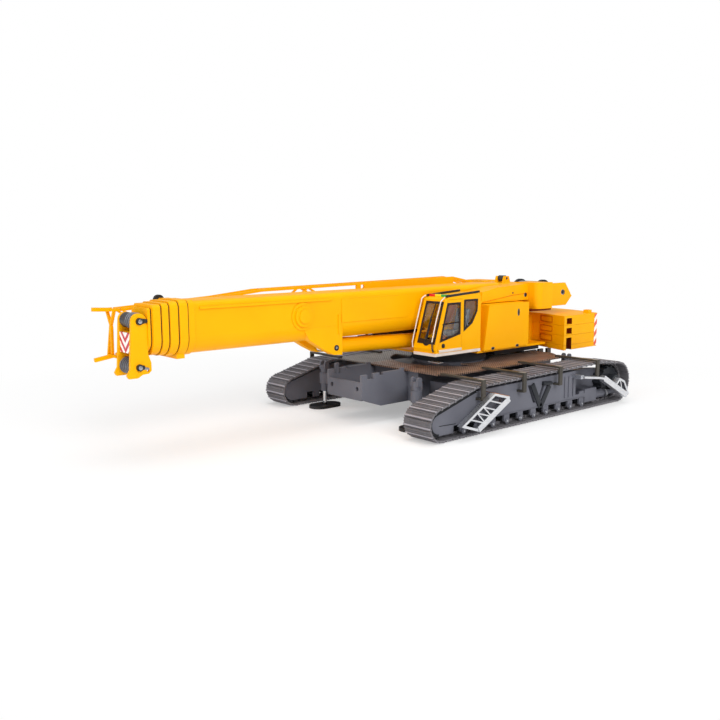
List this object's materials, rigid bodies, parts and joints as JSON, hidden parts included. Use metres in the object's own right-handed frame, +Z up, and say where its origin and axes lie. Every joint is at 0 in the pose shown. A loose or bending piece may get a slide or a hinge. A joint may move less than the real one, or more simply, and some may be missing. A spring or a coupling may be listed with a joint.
{
  "type": "scale model telescopic crawler crane",
  "caption": "Die-cast scale model of a telescopic boom crane on crawler tracks, with a slewing upper works, tilting cab, luffing and extending boom and folded jack feet.",
  "frame": {"origin": "centre of the bounding box on the ground under the tracks", "axes": "+X forward to the boom head, +Y to the machine's left where the cab is, +Z up"},
  "size_m": [0.3061, 0.1472, 0.0738],
  "materials": {
    "yellow_enamel": "glossy yellow enamel on die-cast metal",
    "grey_enamel": "satin dark grey enamel on die-cast metal",
    "track_metal": "semi-gloss dark grey track shoes",
    "etched_bronze": "fine perforated sheet, warm brown-grey",
    "etched_grey": "fine perforated sheet, dull grey",
    "bright_metal": "bright bare metal",
    "black_plastic": "black moulded plastic",
    "polished_steel": "polished steel",
    "clear_glazing": "clear moulded glazing",
    "pale_trim": "off-white trim"
  },
  "bodies": {
    "undercarriage": {"carrier": "grey_enamel", "track_left": "track_metal", "track_right": "track_metal", "track_frame_left": "grey_enamel", "track_frame_right": "grey_enamel", "track_wheels_left": "grey_enamel", "track_wheels_right": "grey_enamel", "catwalk_left": "etched_bronze", "catwalk_right": "etched_grey", "front_deck": "etched_bronze", "catwalk_brackets_left": "etched_grey", "catwalk_brackets_right": "etched_grey", "ladders_left": "bright_metal", "ladders_right": "bright_metal", "jack_arms": "grey_enamel", "slew_ring": "grey_enamel", "cross_beams_left": "grey_enamel", "cross_beams_right": "grey_enamel", "tray_front": "grey_enamel", "tray_rear": "grey_enamel"},
    "superstructure": {"turntable": "grey_enamel", "upper_frame": "yellow_enamel", "boom_pivot_pin": "polished_steel", "body_cover_left": "yellow_enamel", "body_cover_right": "yellow_enamel", "counterweight_slab_1": "yellow_enamel", "counterweight_slab_2": "yellow_enamel", "counterweight_slab_3": "yellow_enamel", "counterweight_slab_4": "yellow_enamel"},
    "winch": {"winch_drum": "grey_enamel"},
    "cab": {"cab_shell": "yellow_enamel", "cab_door": "yellow_enamel", "cab_glass": "clear_glazing", "cab_base": "pale_trim", "cab_seat": "black_plastic", "cab_roof_rails": "black_plastic", "cab_lamp_bar": "black_plastic"},
    "boom": {"boom_base": "yellow_enamel", "jib_lattice": "yellow_enamel", "jib_end_frame": "yellow_enamel"},
    "rope_sheave": {"foot_sheave": "black_plastic"},
    "cylinder_barrel": {"luffing_barrel": "yellow_enamel"},
    "cylinder_rod": {"luffing_rod": "polished_steel"},
    "upper_sheaves": {"head_sheaves_upper": "black_plastic"},
    "lower_sheaves": {"head_sheaves_lower": "black_plastic"},
    "tele_1": {"boom_section_1": "yellow_enamel", "boom_guide_wheel": "black_plastic"},
    "tele_2": {"boom_section_2": "yellow_enamel"},
    "tele_3": {"boom_section_3": "yellow_enamel"},
    "tele_4": {"boom_section_4": "yellow_enamel"},
    "tele_5": {"boom_section_5": "yellow_enamel", "boom_head": "yellow_enamel", "head_pins": "polished_steel", "head_marker_plate": "pale_trim"},
    "foot_front_left": {"jack_foot_front_left": "black_plastic"},
    "foot_front_right": {"jack_foot_front_right": "black_plastic"},
    "foot_rear_left": {"jack_foot_rear_left": "black_plastic"},
    "foot_rear_right": {"jack_foot_rear_right": "black_plastic"}
  },
  "joints": [
    {"name": "jack_front_left", "type": "slide", "parent": "undercarriage", "child": "foot_front_left", "axis": [0, 0, 1], "range_m": [0, 0.006]},
    {"name": "jack_front_right", "type": "slide", "parent": "undercarriage", "child": "foot_front_right", "axis": [0, 0, 1], "range_m": [0, 0.006]},
    {"name": "jack_rear_left", "type": "slide", "parent": "undercarriage", "child": "foot_rear_left", "axis": [0, 0, 1], "range_m": [0, 0.006]},
    {"name": "jack_rear_right", "type": "slide", "parent": "undercarriage", "child": "foot_rear_right", "axis": [0, 0, 1], "range_m": [0, 0.006]},
    {"name": "slew", "type": "hinge", "parent": "undercarriage", "child": "superstructure", "pos_m": [-0.055, 0, 0.028], "axis": [0, 0, 1], "continuous": true},
    {"name": "cab_tilt", "type": "hinge", "parent": "superstructure", "child": "cab", "pos_m": [-0.0478, 0.01775, 0.035], "axis": [0, -1, 0], "range_deg": [0, 15]},
    {"name": "winch_turn", "type": "hinge", "parent": "superstructure", "child": "winch", "pos_m": [-0.132, 0, 0.063], "axis": [0, 1, 0], "continuous": true},
    {"name": "boom_luff", "type": "hinge", "parent": "superstructure", "child": "boom", "pos_m": [-0.107, 0, 0.062], "axis": [0, -1, 0], "range_deg": [0, 82]},
    {"name": "cylinder_swing", "type": "hinge", "parent": "superstructure", "child": "cylinder_barrel", "pos_m": [-0.057, 0, 0.0386], "axis": [0, -1, 0], "range_deg": [0, 91.95]},
    {"name": "cylinder_stroke", "type": "slide", "parent": "cylinder_barrel", "child": "cylinder_rod", "axis": [0.9994, 0, 0.0346], "range_m": [0, 0.06993]},
    {"name": "rope_sheave_turn", "type": "hinge", "parent": "boom", "child": "rope_sheave", "pos_m": [-0.103, 0, 0.072], "axis": [0, 1, 0], "continuous": true},
    {"name": "telescope_1", "type": "slide", "parent": "boom", "child": "tele_1", "axis": [1, 0, 0], "range_m": [0, 0.191]},
    {"name": "telescope_2", "type": "slide", "parent": "tele_1", "child": "tele_2", "axis": [1, 0, 0], "range_m": [0, 0.191]},
    {"name": "telescope_3", "type": "slide", "parent": "tele_2", "child": "tele_3", "axis": [1, 0, 0], "range_m": [0, 0.191]},
    {"name": "telescope_4", "type": "slide", "parent": "tele_3", "child": "tele_4", "axis": [1, 0, 0], "range_m": [0, 0.191]},
    {"name": "telescope_5", "type": "slide", "parent": "tele_4", "child": "tele_5", "axis": [1, 0, 0], "range_m": [0, 0.191]},
    {"name": "upper_sheave_turn", "type": "hinge", "parent": "tele_5", "child": "upper_sheaves", "pos_m": [0.1432, 0, 0.0624], "axis": [0, 1, 0], "continuous": true},
    {"name": "lower_sheave_turn", "type": "hinge", "parent": "tele_5", "child": "lower_sheaves", "pos_m": [0.1439, 0, 0.0426], "axis": [0, 1, 0], "continuous": true}
  ],
  "couplings": [
    {"joint": "cylinder_swing", "follows": "boom_luff", "ratio": 1.1152},
    {"joint": "cylinder_stroke", "follows": "boom_luff", "m_per_rad": 0.04851}
  ]
}
